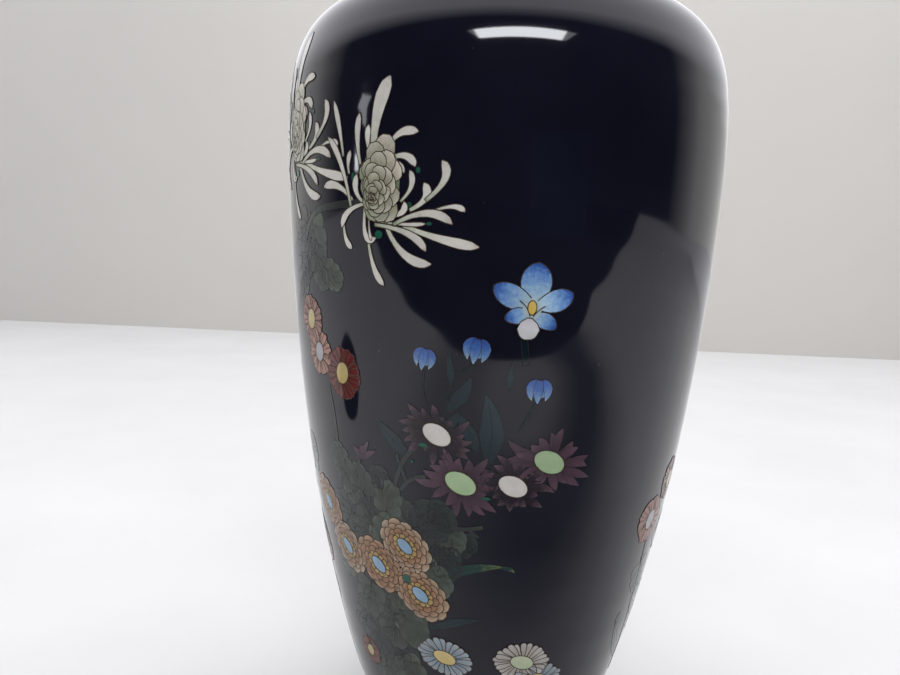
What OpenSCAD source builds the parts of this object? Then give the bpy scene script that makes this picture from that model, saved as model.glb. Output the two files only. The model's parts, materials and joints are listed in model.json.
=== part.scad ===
// Cloisonne enamel vase with a high shoulder and a short neck.
// A raised copper body carries an enamel skin, a counter-enamel lining and two silver rims.
// The flowers are enamel cells: each is a thin closed tile that follows the curve of the wall.
// Millimetres, +Z up, origin at the middle of the face that the foot rests on.

/* [Vessel] */
// Radius of the foot, outside the enamel
foot_r = 22.5; // [21:0.5:24]
// Radius of the wall's control line where the vase is widest
belly_r = 45.5; // [43:0.5:48]
// Radius of the neck's control line where it is narrowest
neck_r = 18.5; // [17:0.5:20]
// Radius of the mouth, outside the enamel
mouth_r = 21; // [19:0.5:24]
// Height of the lip, without its silver rim
mouth_h = 170; // [168:0.5:174]

/* [Layers] */
// Thickness of the enamel outside
enamel_t = 0.7; // [0.5:0.1:0.9]
// Thickness of the copper wall and floor
copper_t = 0.9; // [0.7:0.1:1.2]
// Thickness of the counter-enamel inside and under the floor
lining_t = 0.5; // [0.3:0.1:0.7]
// Thickness of the silver strip
silver_t = 0.4; // [0.3:0.05:0.6]
// Space between two layers, which keeps them separate solids
gap = 0.02; // [0.01:0.01:0.05]

/* [Foot] */
// Height of the underside of the copper floor
floor_h = 6.5; // [5:0.5:8]
// Thickness of the copper foot ring
ring_t = 1.8; // [1.2:0.2:2.4]
// Height of the silver strip round the foot
foot_rim_h = 2.5; // [2:0.25:3.5]
// Depth of the silver strip round the lip
mouth_rim_h = 1.8; // [1.2:0.2:2.6]

/* [Decoration] */
// Thickness of an enamel cell that shows above the ground
tile_t = 0.06; // [0.04:0.01:0.1]
// Width of a stem
stem_w = 0.6; // [0.4:0.1:1]
// Width of a cloison wire
wire_w = 0.2; // [0.15:0.05:0.3]

/* [Hidden] */

$fn = 128;
spline_steps = 4;

// Heights of the seams between the bands of the copper body, which are brazed edge to edge
seams = [40, 92, 146, 156.5, 162.5];

// Lift of each family of cells above the ground, lowest first
stem_lift = 0.06;
leaf_lift = 0.14;
petal_lift = 0.3;
centre_lift = 0.5;

// Control line of the wall as [radius, height], from the foot up to the lip
wall_control = [
    [foot_r, foot_rim_h],
    [foot_r, 6],
    [foot_r + 4, 11],
    [belly_r - 12, 34],
    [belly_r - 6, 64],
    [belly_r - 2.5, 92],
    [belly_r - 0.5, 119],
    [belly_r, 140],
    [belly_r - 3, 152.5],
    [belly_r - 11.5, 158],
    [26, 160.5],
    [neck_r + 1.5, 161.5],
    [neck_r, 166],
    [mouth_r, mouth_h]
];

// ---------- Curves of the vessel ----------

// Weights of the four control points of a uniform cubic B-spline
function spline_weights(t) =
    [pow(1 - t, 3), 3 * t * t * t - 6 * t * t + 4, -3 * t * t * t + 3 * t * t + 3 * t + 1, t * t * t] / 6;

// Points of a B-spline that starts and ends on its first and last control points
function spline(p) =
    let (last = len(p) - 1,
         q = concat([2 * p[0] - p[1]], p, [2 * p[last] - p[last - 1]]))
    concat(
        [for (i = [0:len(q) - 4], k = [0:spline_steps - 1])
            spline_weights(k / spline_steps) * [q[i], q[i + 1], q[i + 2], q[i + 3]]],
        [p[last]]);

// Unit direction into the wall at point i of a line; the two ends stay level
function inward(line, i) =
    let (last = len(line) - 1, d = line[min(i + 1, last)] - line[max(i - 1, 0)])
    i == 0 || i == last ? [-1, 0] : [-d[1], d[0]] / norm(d);

function inset(line, depth) = [for (i = [0:len(line) - 1]) line[i] + depth * inward(line, i)];

function reversed(line) = [for (i = [len(line) - 1:-1:0]) line[i]];

function radius_at(line, z) = lookup(z, [for (p = line) [p[1], p[0]]]);

// The stretch of a line above height z, starting exactly at that height
function above(line, z) = concat([[radius_at(line, z), z]], [for (p = line) if (p[1] > z) p]);

function below(line, z) = concat([for (p = line) if (p[1] < z) p], [[radius_at(line, z), z]]);

function between(line, low, high) = below(above(line, low), high);

wall = spline(wall_control);
copper_out = inset(wall, enamel_t + gap);
copper_in = inset(wall, enamel_t + gap + copper_t);
lining_out = inset(wall, enamel_t + copper_t + 2 * gap);
lining_in = inset(wall, enamel_t + copper_t + 2 * gap + lining_t);
ring_out = foot_r - enamel_t - gap;
ring_in = ring_out - ring_t;

// ---------- Vessel ----------

// A layer closed by a floor: out_line and in_line are its two faces, floor_z its underside
module cup(out_line, in_line, floor_z, floor_t) {
    rotate_extrude()
        polygon(concat(
            [[0, floor_z]],
            above(out_line, floor_z),
            reversed(above(in_line, floor_z + floor_t)),
            [[0, floor_z + floor_t]]));
}

// Floor of the vessel and the first band of its wall
module copper_base() {
    top = seams[0] - gap;
    color("peru") cup(below(copper_out, top), below(copper_in, top), floor_h, copper_t);
}

// One band of the copper wall, open at both ends
module copper_band(low, high) {
    color("peru")
        rotate_extrude()
            polygon(concat(between(copper_out, low, high), reversed(between(copper_in, low, high))));
}

module copper_lower_wall() {
    copper_band(seams[0], seams[1] - gap);
}

module copper_upper_wall() {
    copper_band(seams[1], seams[2] - gap);
}

module copper_shoulder() {
    copper_band(seams[2], seams[3] - gap);
}

module copper_crown() {
    copper_band(seams[3], seams[4] - gap);
}

module copper_neck() {
    copper_band(seams[4], mouth_h);
}

module lining_enamel() {
    color("cornflowerblue") cup(lining_out, lining_in, floor_h + copper_t + gap, lining_t);
}

module ground_enamel() {
    color([0.05, 0.05, 0.12])
        rotate_extrude() polygon(concat(wall, reversed(inset(wall, enamel_t))));
}

// Collar brazed under the floor; the silver strip wraps its lower edge
module foot_ring() {
    low = silver_t + gap;
    color("peru")
        rotate_extrude()
            polygon(concat(
                [[ring_in, low], [ring_out, low]],
                below(copper_out, floor_h - gap),
                [[ring_in, floor_h - gap]]));
}

// Enamel in the recess under the foot: a disc with a short skirt down the ring's inner face
module base_enamel() {
    top = floor_h - gap;
    out_r = ring_in - gap;
    skirt_low = foot_rim_h;
    color("midnightblue")
        rotate_extrude()
            polygon([[0, top - lining_t], [out_r - lining_t, top - lining_t], [out_r - lining_t, skirt_low],
                     [out_r, skirt_low], [out_r, top], [0, top]]);
}

// Silver strip folded round the lower edge of the foot; its underside is the resting face
module foot_rim() {
    out_r = foot_r + silver_t / 2;
    in_r = ring_in - gap - silver_t;
    soft = silver_t / 2;
    top = foot_rim_h - gap;
    color("silver")
        rotate_extrude()
            polygon([[in_r + soft, 0], [out_r - soft, 0], [out_r, soft], [out_r, top],
                     [ring_out + gap, top], [ring_out + gap, silver_t], [ring_in - gap, silver_t],
                     [ring_in - gap, foot_rim_h - 0.5], [in_r, foot_rim_h - 0.5], [in_r, soft]]);
}

// Silver strip folded over the lip, with a half-round top
module mouth_rim() {
    face = inset(wall, -gap);
    skin = inset(wall, -gap - silver_t);
    leg_low = mouth_h - mouth_rim_h;
    out_r = mouth_r + gap + silver_t;
    in_face = mouth_r - enamel_t - copper_t - lining_t - 3 * gap;
    in_r = in_face - silver_t;
    middle = (out_r + in_r) / 2;
    color("silver")
        rotate_extrude()
            polygon(concat(
                above(skin, leg_low),
                [for (a = [10:10:170]) [middle + (out_r - middle) * cos(a), mouth_h + 1.2 * sin(a)]],
                [[in_r, mouth_h], [in_r, leg_low], [in_face, leg_low], [in_face, mouth_h + gap]],
                [[mouth_r + gap, mouth_h + gap]],
                reversed([for (p = above(face, leg_low)) if (p[1] < mouth_h) p])));
}

// ---------- Cells that follow the wall ----------

wall_radii = [for (p = wall) [p[1], p[0]]];

// Point of the wall x mm round it and y mm up from a motif's place [azimuth, height]
function on_wall(place, p, lift) =
    let (z = place[1] + p[1],
         a = place[0] + p[0] / lookup(place[1], wall_radii) * 180 / PI,
         r = lookup(z, wall_radii) + lift)
    [r * sin(a), -r * cos(a), z];

// A cell is [place, rows, lift]; rows are pairs of plan points, left and right, from root to tip
function cell_points(cell) =
    [for (row = cell[1], lift = [cell[2], cell[2] + tile_t], p = row) on_wall(cell[0], p, lift)];

function quad(a, b, c, d) = [[a, b, c], [a, c, d]];

function cell_faces(count, start) =
    let (last = start + 4 * (count - 1))
    concat(
        [for (k = [0:count - 2])
            let (i = start + 4 * k)
            for (face = concat(quad(i + 2, i + 6, i + 7, i + 3), quad(i, i + 1, i + 5, i + 4),
                               quad(i + 6, i + 2, i, i + 4), quad(i + 3, i + 7, i + 5, i + 1)))
                face],
        quad(start + 2, start + 3, start + 1, start),
        quad(last + 3, last + 2, last, last + 1));

function starts(cells) =
    [for (i = 0, n = 0; i < len(cells); n = n + 4 * len(cells[i][1]), i = i + 1) n];

// All cells of one colour as one body of separate closed tiles
module cells(list) {
    first = starts(list);
    polyhedron(
        points = [for (c = list) for (p = cell_points(c)) p],
        faces = [for (i = [0:len(list) - 1]) for (f = cell_faces(len(list[i][1]), first[i])) f]);
}

function bezier(a, b, c, t) = (1 - t) * (1 - t) * a + 2 * t * (1 - t) * b + t * t * c;

// Rows of a ribbon along a bent spine; profile gives its width along the spine, from 0 to 1
function ribbon(root, bend, tip, width, profile, steps) =
    [for (k = [0:steps])
        let (t = k / steps,
             p = bezier(root, bend, tip, t),
             d = (1 - t) * (bend - root) + t * (tip - bend),
             side = [d[1], -d[0]] / norm(d) * width / 2 * lookup(t, profile))
        [p - side, p + side]];

long_petal = [[0, 0.35], [0.35, 0.6], [0.7, 1], [1, 0.4]];
round_petal = [[0, 0.4], [0.5, 1], [1, 0.5]];
pointed_leaf = [[0, 0.25], [0.4, 1], [1, 0.08]];
even_width = [[0, 1], [1, 1]];

// Turns by an angle and mirrors left to right where flip is -1; rows keep their left side first
function laid(rows, size, flip = 1, turn = 0) =
    [for (row = rows)
        let (moved = [for (p = row) size * [flip * (p[0] * cos(turn) + p[1] * sin(turn)),
                                            p[1] * cos(turn) - p[0] * sin(turn)]])
        flip < 0 ? [moved[1], moved[0]] : moved];

// Neighbouring cells are set at alternating depths, so that they never cut each other
function deep(lift, i) = lift + (i % 2) * (tile_t + 0.02);

// Petals in a ring round a flower at [azimuth, height, radius], seen a little from the side
function ring_cells(flower, count, inner, outer, lift, look = 0.85) =
    let (r = flower[2], wide = 2 * PI * r * outer / count * 0.8)
    [for (k = [0:count - 1])
        let (a = 360 * (k + 0.5) / count,
             d = [sin(a), cos(a)],
             side = [d[1], -d[0]] * wide / 2,
             low = inner * r * d,
             high = outer * r * d)
        [flower, [for (row = [[low - side * 0.5, low + side * 0.5], [high - side, high + side]])
                     [for (p = row) [p[0], p[1] * look]]],
         deep(lift, k)]];

// Eight-sided disc as a strip of four rows
function disc_rows(rx, ry) =
    [for (a = [-67.5, -22.5, 22.5, 67.5]) [[-rx * cos(a), ry * sin(a)], [rx * cos(a), ry * sin(a)]]];

function disc_cells(flowers, size, look = 0.8) =
    [for (f = flowers) [f, disc_rows(f[2] * size, f[2] * size * look), centre_lift]];

// ---------- Layout: [azimuth in degrees, height, radius or size, flip] ----------
// Azimuth 0 faces -Y and grows towards +X

chrysanthemums = [[-26.5, 120, 1, 1], [-58, 131, 1, 1], [-104, 116, 0.95, -1], [172, 124, 1, -1]];
bellflowers = [[8, 102.5, 1, 1], [-142, 100, 1, -1]];
buds = [[-16, 91.5, 1, 15], [-4, 93.5, 1.1, 0], [10.5, 87, 1.1, 0],
        [-160, 92, 1.1, 10], [-128, 91, 1, -15], [148, 90, 1, 0]];
red_daisies = [[-54, 96, 4.8], [-50.5, 90, 4.6], [-40.5, 87, 5], [-45, 28.5, 4.5],
               [56, 59, 5], [66, 66, 4.6], [-84, 84, 5], [130, 76, 4.8]];
asters = [[-13, 78.5, 6.5], [-7, 70, 7], [6, 70, 6.5], [14.5, 74.5, 7],
          [-150, 74, 6.8], [-162, 66, 6.5], [160, 72, 7]];
pompons = [[-56, 59, 5], [-47, 51.5, 5], [-33, 50.5, 5.2], [-23, 56, 5], [-19, 46.5, 5.2],
           [-72, 48, 5], [100, 52, 5], [113, 46, 5.2], [-118, 56, 5]];
blue_daisies = [[-12, 33.5, 5], [20, 29, 4.8], [-84, 32, 5], [150, 34, 5]];
white_daisies = [[13.5, 33.5, 5.2], [84, 34, 5], [-140, 36, 5]];

// Long petals of a chrysanthemum as [root, bend, tip, width], seen from its centre
spider_petals = [
    [[-1.5, 7], [-3, 13], [2, 18], 2.2],
    [[-4.5, 4.5], [-6, 8], [-4, 12], 1.3],
    [[-8.5, 6], [-8.5, 10], [-11, 14.5], 1.2],
    [[-7, -1], [-8, 6], [-12.5, 8], 1.3],
    [[-7, 2.5], [-7.5, 4], [-6.5, 6], 1],
    [[-7, -1.5], [-10, 2.5], [-14, 0], 1.6],
    [[-4.5, -3.5], [-9, -3.5], [-9, -8], 1.4],
    [[-3.5, -5], [-5, -10], [-1.5, -10], 1.3],
    [[-2.5, -11], [-2, -14], [0.5, -16.5], 1.4],
    [[1.5, -7.5], [4, -13], [9.5, -12.5], 1.7],
    [[0.5, -7], [7, -7], [8.5, -10.5], 1.4],
    [[6, -7], [12, -9], [17.5, -9.5], 1.7],
    [[4, -5.5], [9.5, -2.5], [12.5, -6], 1.6],
    [[11, -3.5], [14, -2.5], [15, -4], 1],
    [[6.5, -3.5], [10, -2], [8, 0.5], 1.6],
    [[9.5, -1.5], [13.5, 1.5], [11, 4], 1.6],
    [[5, -1.5], [7.5, 0.5], [5.5, 2.5], 1.1],
    [[2, 7], [3.5, 9.5], [7, 8.5], 1.6],
    [[3, 4.5], [5.5, 6], [6.5, 3.5], 1.4]
];

// Broad leaves as [azimuth, height, length, turn]
chrysanthemum_leaf_layout = [
    [-50, 112, 8, 160], [-58, 108, 8, 200], [-64, 104, 7, 150], [-52, 104, 7, 120],
    [-46, 72, 8, -60], [-40, 66, 8, -20], [-36, 62, 8, 40], [-30, 64, 7, 20], [-28, 70, 6, 60],
    [-44, 60, 8, 200], [-40, 44, 8, 160], [-34, 42, 8, 200], [-28, 40, 8, 140], [-24, 38, 7, 200],
    [-44, 38, 8, 160], [-38, 33, 8, 190], [-30, 32, 8, 150], [-22, 64, 6, 60],
    [-66, 68, 8, 20], [-80, 60, 8, -40], [-92, 50, 8, 160], [-104, 66, 8, 20], [-112, 100, 8, 200],
    [-100, 98, 8, 160], [96, 66, 8, 20], [108, 60, 8, 60], [122, 60, 8, -40], [104, 40, 8, 160],
    [60, 46, 8, 160], [72, 54, 8, 40], [140, 60, 8, 20], [176, 106, 8, 160], [164, 104, 8, 200],
    [-128, 48, 8, 160], [-146, 52, 8, 40], [132, 42, 8, 200]
];

// Long narrow leaves as [azimuth, height, length, turn]
blade_leaf_layout = [
    [-14, 84, 10, -40], [-9, 86, 9, 25], [-3, 80, 11, 10], [4, 82, 11, -10], [1, 60, 10, 160],
    [-10, 48, 15, 80], [-4, 62, 9, 140], [-154, 84, 11, 20], [-146, 86, 11, -20],
    [-156, 54, 14, 100], [156, 80, 11, 20], [166, 60, 12, 150]
];

// Stems as [azimuth, height, root, bend, tip]
stem_layout = [
    [-31, 117, [0, 0], [-6, 0], [-10, -3]],
    [-42, 113, [0, 0], [-5, -5], [-4, -14]],
    [7, 98, [0, 0], [0.5, -5], [-1, -11]],
    [-4, 92, [0, 0], [-4, -3], [-6, -12]],
    [-16, 90, [0, 0], [-1, -5], [1, -10]],
    [10, 85, [0, 0], [-2, -4], [-4, -8]],
    [-7, 76, [0, 0], [-2, -10], [-4, -20]],
    [14, 68, [0, 0], [-3, -8], [-10, -16]],
    [-34, 76, [0, 0], [1, -8], [-1, -16]],
    [-27, 74, [0, 0], [-4, -6], [-5, -14]],
    [-38, 60, [0, 0], [2, -10], [3, -24]],
    [-28, 54, [0, 0], [0, -10], [2, -26]],
    [-12, 30, [0, 0], [0, -6], [-2, -14]],
    [14, 30, [0, 0], [0, -6], [1, -14]],
    [-47, 84, [0, 0], [2, -8], [1, -20]],
    [-112, 108, [0, 0], [-3, -10], [-2, -30]],
    [172, 110, [0, 0], [3, -14], [0, -34]],
    [-142, 92, [0, 0], [-1, -10], [0, -26]],
    [104, 44, [0, 0], [1, -12], [2, -26]],
    [58, 54, [0, 0], [2, -14], [6, -32]]
];

// ---------- Decoration ----------

function petal_cells(flower, petals, profile, steps, lift) =
    [for (i = [0:len(petals) - 1])
        let (p = petals[i])
        [flower, laid(ribbon(p[0], p[1], p[2], p[3], profile, steps), flower[2], flower[3]), deep(lift, i)]];

module chrysanthemum_petals() {
    color([0.87, 0.85, 0.74])
        cells([for (f = chrysanthemums)
            for (c = petal_cells(f, spider_petals, long_petal, 3, petal_lift)) c]);
}

// Curled inner petals: two rings of overlapping scales
module chrysanthemum_hearts() {
    heart_r = 5.5;
    color([0.75, 0.78, 0.62])
        cells([for (f = chrysanthemums)
            let (heart = [f[0], f[1], heart_r * f[2]])
            for (c = concat(ring_cells(heart, 9, 0.55, 0.95, petal_lift + 0.2, 1.2),
                            ring_cells(heart, 6, 0.1, 0.5, petal_lift + 0.2, 1.2)))
                c]);
}

module leaf_cells(layout, width, steps, lift) {
    cells([for (i = [0:len(layout) - 1])
        let (l = layout[i], rows = ribbon([0, 0], [0.5, l[2] / 2], [0, l[2]], width, pointed_leaf, steps))
        [l, laid(rows, 1, 1, l[3]), deep(lift, i)]]);
}

module chrysanthemum_leaves() {
    leaf_w = 4.5;
    color([0.22, 0.27, 0.22]) leaf_cells(chrysanthemum_leaf_layout, leaf_w, 3, leaf_lift);
}

module blade_leaves() {
    blade_w = 1.8;
    color([0.05, 0.16, 0.2]) leaf_cells(blade_leaf_layout, blade_w, 4, leaf_lift);
}

module flower_stems() {
    color([0.2, 0.28, 0.24])
        cells([for (i = [0:len(stem_layout) - 1])
            let (s = stem_layout[i])
            [s, ribbon(s[2], s[3], s[4], stem_w, even_width, 5), stem_lift + (i % 2) * 0.02]]);
}

// Five pointed petals, the upper one largest
module bellflower_petals() {
    petals = [for (a = [0, 75, 140, 215, 285])
        let (d = [sin(a), cos(a)], reach = a == 0 ? 6.2 : 5.6)
        [d * 1.2, d * reach / 2, d * reach, 3]];
    color([0.3, 0.5, 0.85])
        cells([for (f = bellflowers) for (c = petal_cells(f, petals, round_petal, 3, petal_lift)) c]);
}

module bellflower_stamens() {
    color("gold") cells([for (f = bellflowers) [f, disc_rows(0.7, 1.1), centre_lift]]);
}

module bellflower_calyxes() {
    color([0.9, 0.87, 0.82])
        cells([for (f = bellflowers)
            [[f[0] - 0.5 * f[3], f[1] - 5], disc_rows(1.7, 1.4), petal_lift + 0.2]]);
}

module bellflower_buds() {
    bud_w = 3.6;
    color([0.2, 0.35, 0.75])
        cells([for (b = buds)
            [b, laid(ribbon([0, -2], [0, 0], [0, 2.2], bud_w, round_petal, 4), b[2], 1, b[3]), petal_lift]]);
}

module daisy_petals(flowers, count) {
    cells([for (f = flowers) for (c = ring_cells(f, count, 0.45, 1, petal_lift)) c]);
}

module red_daisy_petals() {
    color([0.55, 0.12, 0.08]) daisy_petals(red_daisies, 14);
}

module red_daisy_centres() {
    color([0.9, 0.75, 0.45]) cells(disc_cells(red_daisies, 0.36));
}

module aster_petals() {
    color([0.22, 0.14, 0.2]) daisy_petals(asters, 14);
}

module aster_centres() {
    color([0.7, 0.8, 0.6]) cells(disc_cells(asters, 0.38));
}

// Two rings of short petals round an oval centre
module pompon_petals() {
    color([0.8, 0.52, 0.33])
        cells([for (f = pompons)
            for (c = concat(ring_cells(f, 12, 0.66, 1, petal_lift), ring_cells(f, 8, 0.32, 0.62, petal_lift)))
                c]);
}

module pompon_centres() {
    color([0.6, 0.72, 0.8]) cells(disc_cells(pompons, 0.28));
}

module blue_daisy_petals() {
    color([0.45, 0.6, 0.8]) daisy_petals(blue_daisies, 14);
}

module white_daisy_petals() {
    color([0.85, 0.8, 0.75]) daisy_petals(white_daisies, 14);
}

module field_daisy_centres() {
    color([0.85, 0.75, 0.4]) cells(disc_cells(concat(blue_daisies, white_daisies), 0.34));
}

// Silver wire set on edge round an open centre, as four bent strips that nearly meet
function wire_cells(flower, size, look = 0.8) =
    let (r = flower[2] * size + 0.1)
    [for (quarter = [0:90:270])
        [flower,
         [for (a = [3:28:87])
             [for (s = [r + wire_w, r]) [s * sin(quarter + a), s * cos(quarter + a) * look]]],
         centre_lift]];

module centre_wires() {
    color("silver")
        cells([for (f = concat(red_daisies, asters)) for (c = wire_cells(f, 0.39)) c]);
}

copper_base();
copper_lower_wall();
copper_upper_wall();
copper_shoulder();
copper_crown();
copper_neck();
foot_ring();
foot_rim();
mouth_rim();
ground_enamel();
lining_enamel();
base_enamel();
chrysanthemum_petals();
chrysanthemum_hearts();
chrysanthemum_leaves();
bellflower_petals();
bellflower_stamens();
bellflower_calyxes();
bellflower_buds();
red_daisy_petals();
red_daisy_centres();
aster_petals();
aster_centres();
pompon_petals();
pompon_centres();
blue_daisy_petals();
white_daisy_petals();
field_daisy_centres();
blade_leaves();
flower_stems();
centre_wires();
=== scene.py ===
import json
import math

import bpy
import numpy as np
from mathutils import Matrix, Vector


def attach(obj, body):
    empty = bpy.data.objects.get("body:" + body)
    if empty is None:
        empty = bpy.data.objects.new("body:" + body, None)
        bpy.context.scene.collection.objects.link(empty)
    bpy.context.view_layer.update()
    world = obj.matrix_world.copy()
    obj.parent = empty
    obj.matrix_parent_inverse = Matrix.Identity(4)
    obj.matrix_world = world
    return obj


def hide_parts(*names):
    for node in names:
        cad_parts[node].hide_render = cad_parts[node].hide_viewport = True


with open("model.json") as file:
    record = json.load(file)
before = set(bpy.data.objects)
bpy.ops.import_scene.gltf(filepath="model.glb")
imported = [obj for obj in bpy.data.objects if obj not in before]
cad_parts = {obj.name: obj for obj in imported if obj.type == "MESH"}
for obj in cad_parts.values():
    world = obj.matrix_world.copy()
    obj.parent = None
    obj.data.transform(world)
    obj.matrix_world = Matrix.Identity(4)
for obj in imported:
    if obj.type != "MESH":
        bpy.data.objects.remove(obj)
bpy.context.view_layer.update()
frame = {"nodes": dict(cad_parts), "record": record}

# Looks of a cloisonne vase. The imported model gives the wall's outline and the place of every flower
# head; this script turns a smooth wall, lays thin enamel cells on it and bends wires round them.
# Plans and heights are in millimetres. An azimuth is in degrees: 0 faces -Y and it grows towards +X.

MM = 0.001
BODY = "root"

# Thickness of the ground enamel, as in the CAD
ENAMEL = 0.7

# Cells stand a little above the ground, one step higher for each level, and their wires still higher
FIRST_LIFT = 0.02
LEVEL_STEP = 0.012
WIRE_LIFT = 0.004
CELL_DEPTH = 0.05

# Widths of the wires, and the angle from which an edge is sharp
WIRE = 0.17
FINE_WIRE = 0.07
SHARP_EDGE = 40

rng = np.random.RandomState(7)


# ---------- The wall ----------

def mesh_points(node):
    """Vertices of a CAD node, in millimetres."""
    mesh = frame["nodes"][node].data
    flat = np.empty(3 * len(mesh.vertices))
    mesh.vertices.foreach_get("co", flat)
    return flat.reshape(-1, 3) / MM


def outer_rings(node):
    """(radius, height) of each ring of vertices that a look from outside meets, from the foot up."""
    cad = frame["nodes"][node]
    points = mesh_points(node)
    radii = np.hypot(points[:, 0], points[:, 1])
    rings = []
    for height in np.unique(points[:, 2].round(4)):
        radius = radii[np.abs(points[:, 2] - height) < 0.001].max()
        hit, place, _, _ = cad.ray_cast(Vector((1, 0, height * MM)), Vector((-1, 0, 0)))
        if not hit or abs(place.x / MM - radius) < 0.1:
            rings.append((radius, height))
    return np.array(rings)


def smooth_line(points, step):
    """Natural cubic spline through the points, resampled at even steps."""
    chord = np.concatenate([[0], np.cumsum(np.hypot(*np.diff(points, axis=0).T))])
    h = np.diff(chord)
    count = len(points)
    system = np.eye(count)
    slopes = np.zeros((count, 2))
    for i in range(1, count - 1):
        system[i, i - 1:i + 2] = h[i - 1], 2 * (h[i - 1] + h[i]), h[i]
        slopes[i] = 6 * ((points[i + 1] - points[i]) / h[i] - (points[i] - points[i - 1]) / h[i - 1])
    bend = np.linalg.solve(system, slopes)
    at = np.linspace(0, chord[-1], int(chord[-1] / step) + 1)
    i = np.clip(np.searchsorted(chord, at) - 1, 0, count - 2)
    a = ((chord[i + 1] - at) / h[i])[:, None]
    b = 1 - a
    bow = (a ** 3 - a) * bend[i] + (b ** 3 - b) * bend[i + 1]
    return a * points[i] + b * points[i + 1] + bow * (h[i] ** 2)[:, None] / 6


WALL = smooth_line(outer_rings("ground_enamel"), 1.0)
TANGENT = np.gradient(WALL, axis=0)
TANGENT /= np.hypot(*TANGENT.T)[:, None]


def offset(depth):
    """The wall's line moved inwards by a depth; its ends stay level."""
    inward = np.stack([-TANGENT[:, 1], TANGENT[:, 0]], axis=1)
    inward[[0, -1]] = -1, 0
    return WALL + depth * inward


def on_wall(place, plan, lift):
    """Points of the wall x mm round it and y mm up from a place (azimuth, height), in metres."""
    azimuth, height = place
    heights = height + plan[..., 1]
    around = np.radians(azimuth) + plan[..., 0] / np.interp(height, WALL[:, 1], WALL[:, 0])
    out = np.interp(heights, WALL[:, 1], TANGENT[:, 1])
    down = np.interp(heights, WALL[:, 1], TANGENT[:, 0])
    radii = np.interp(heights, WALL[:, 1], WALL[:, 0]) + lift * out
    return np.stack([radii * np.sin(around), -radii * np.cos(around), heights - lift * down], axis=-1) * MM


def cad_place(node, azimuth, height, reach):
    """Exact (azimuth, height) of the middle of what a CAD node has within reach of a rough place."""
    points = mesh_points(node)
    around = np.degrees(np.arctan2(points[:, 0], -points[:, 1]))
    turn = (around - azimuth + 180) % 360 - 180
    radius = np.interp(height, WALL[:, 1], WALL[:, 0])
    near = np.hypot(np.radians(turn) * radius, points[:, 2] - height) < reach
    middle = [(side[near].min() + side[near].max()) / 2 for side in (turn, points[:, 2])]
    return azimuth + middle[0], middle[1]


# ---------- Meshes ----------

def add_object(name, data):
    """Object in the scene that shows a mesh, a light or a camera."""
    made = bpy.data.objects.new(name, data)
    bpy.context.collection.objects.link(made)
    return made


def make_piece(name, points, faces, material, replaced):
    """One mesh object of the vase, smooth except at its edges, that stands for CAD nodes."""
    mesh = bpy.data.meshes.new(name)
    mesh.from_pydata(points, [], faces)
    mesh.shade_smooth()
    mesh.set_sharp_from_angle(angle=math.radians(SHARP_EDGE))
    mesh.materials.append(material)
    piece = add_object(name, mesh)
    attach(piece, BODY)
    if replaced:
        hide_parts(*replaced)
    return piece


def turned(name, section, material, replaced, segments=240):
    """Turns a closed section of (radius, height), which stays clear of the axis, about Z."""
    turns = np.linspace(0, 2 * math.pi, segments, endpoint=False)
    points = [(radius * math.cos(t) * MM, radius * math.sin(t) * MM, height * MM)
              for radius, height in section for t in turns]
    faces = []
    for ring in range(len(section)):
        low = ring * segments
        high = (ring + 1) % len(section) * segments
        for i in range(segments):
            j = (i + 1) % segments
            faces.append([low + i, low + j, high + j, high + i])
    make_piece(name, points, faces, material, replaced)


def grid_faces(rows, columns):
    """Faces of a closed tile whose top points come first, row by row."""
    def at(row, column, low=False):
        return row * columns + column + (rows * columns if low else 0)

    top = [[at(i, j), at(i, j + 1), at(i + 1, j + 1), at(i + 1, j)]
           for i in range(rows - 1) for j in range(columns - 1)]
    bottom = [[rows * columns + k for k in reversed(face)] for face in top]
    edge = [(0, j) for j in range(columns - 1)]
    edge += [(i, columns - 1) for i in range(rows - 1)]
    edge += [(rows - 1, j) for j in range(columns - 1, 0, -1)]
    edge += [(i, 0) for i in range(rows - 1, 0, -1)]
    sides = [[at(*a, low=True), at(*b, low=True), at(*b), at(*a)] for a, b in zip(edge, edge[1:] + edge[:1])]
    return np.array(top + bottom + sides)


class Cells:
    """Enamel cells of one colour, collected as separate closed tiles of one piece."""

    def __init__(self):
        self.points = []
        self.faces = []
        self.notes = []
        self.count = 0

    def add(self, place, grid, lift, accent):
        rows, columns = grid.shape[:2]
        flat = grid.reshape(-1, 2)
        self.points += [on_wall(place, flat, lift), on_wall(place, flat, lift - CELL_DEPTH)]
        self.faces += (grid_faces(rows, columns) + self.count).tolist()
        along, across = np.meshgrid(np.linspace(0, 1, rows), np.linspace(0, 1, columns), indexing="ij")
        note = np.stack([along.ravel(), across.ravel(),
                         np.full(along.size, rng.rand()), np.full(along.size, accent)], axis=1)
        self.notes += [note, note]
        self.count += 2 * rows * columns

    def build(self, name, material, slot, replaced):
        piece = make_piece(name, np.concatenate(self.points).tolist(), self.faces, material, replaced)
        note = piece.data.attributes.new("cell", "FLOAT_COLOR", "POINT")
        note.data.foreach_set("color", np.concatenate(self.notes).ravel())


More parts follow.
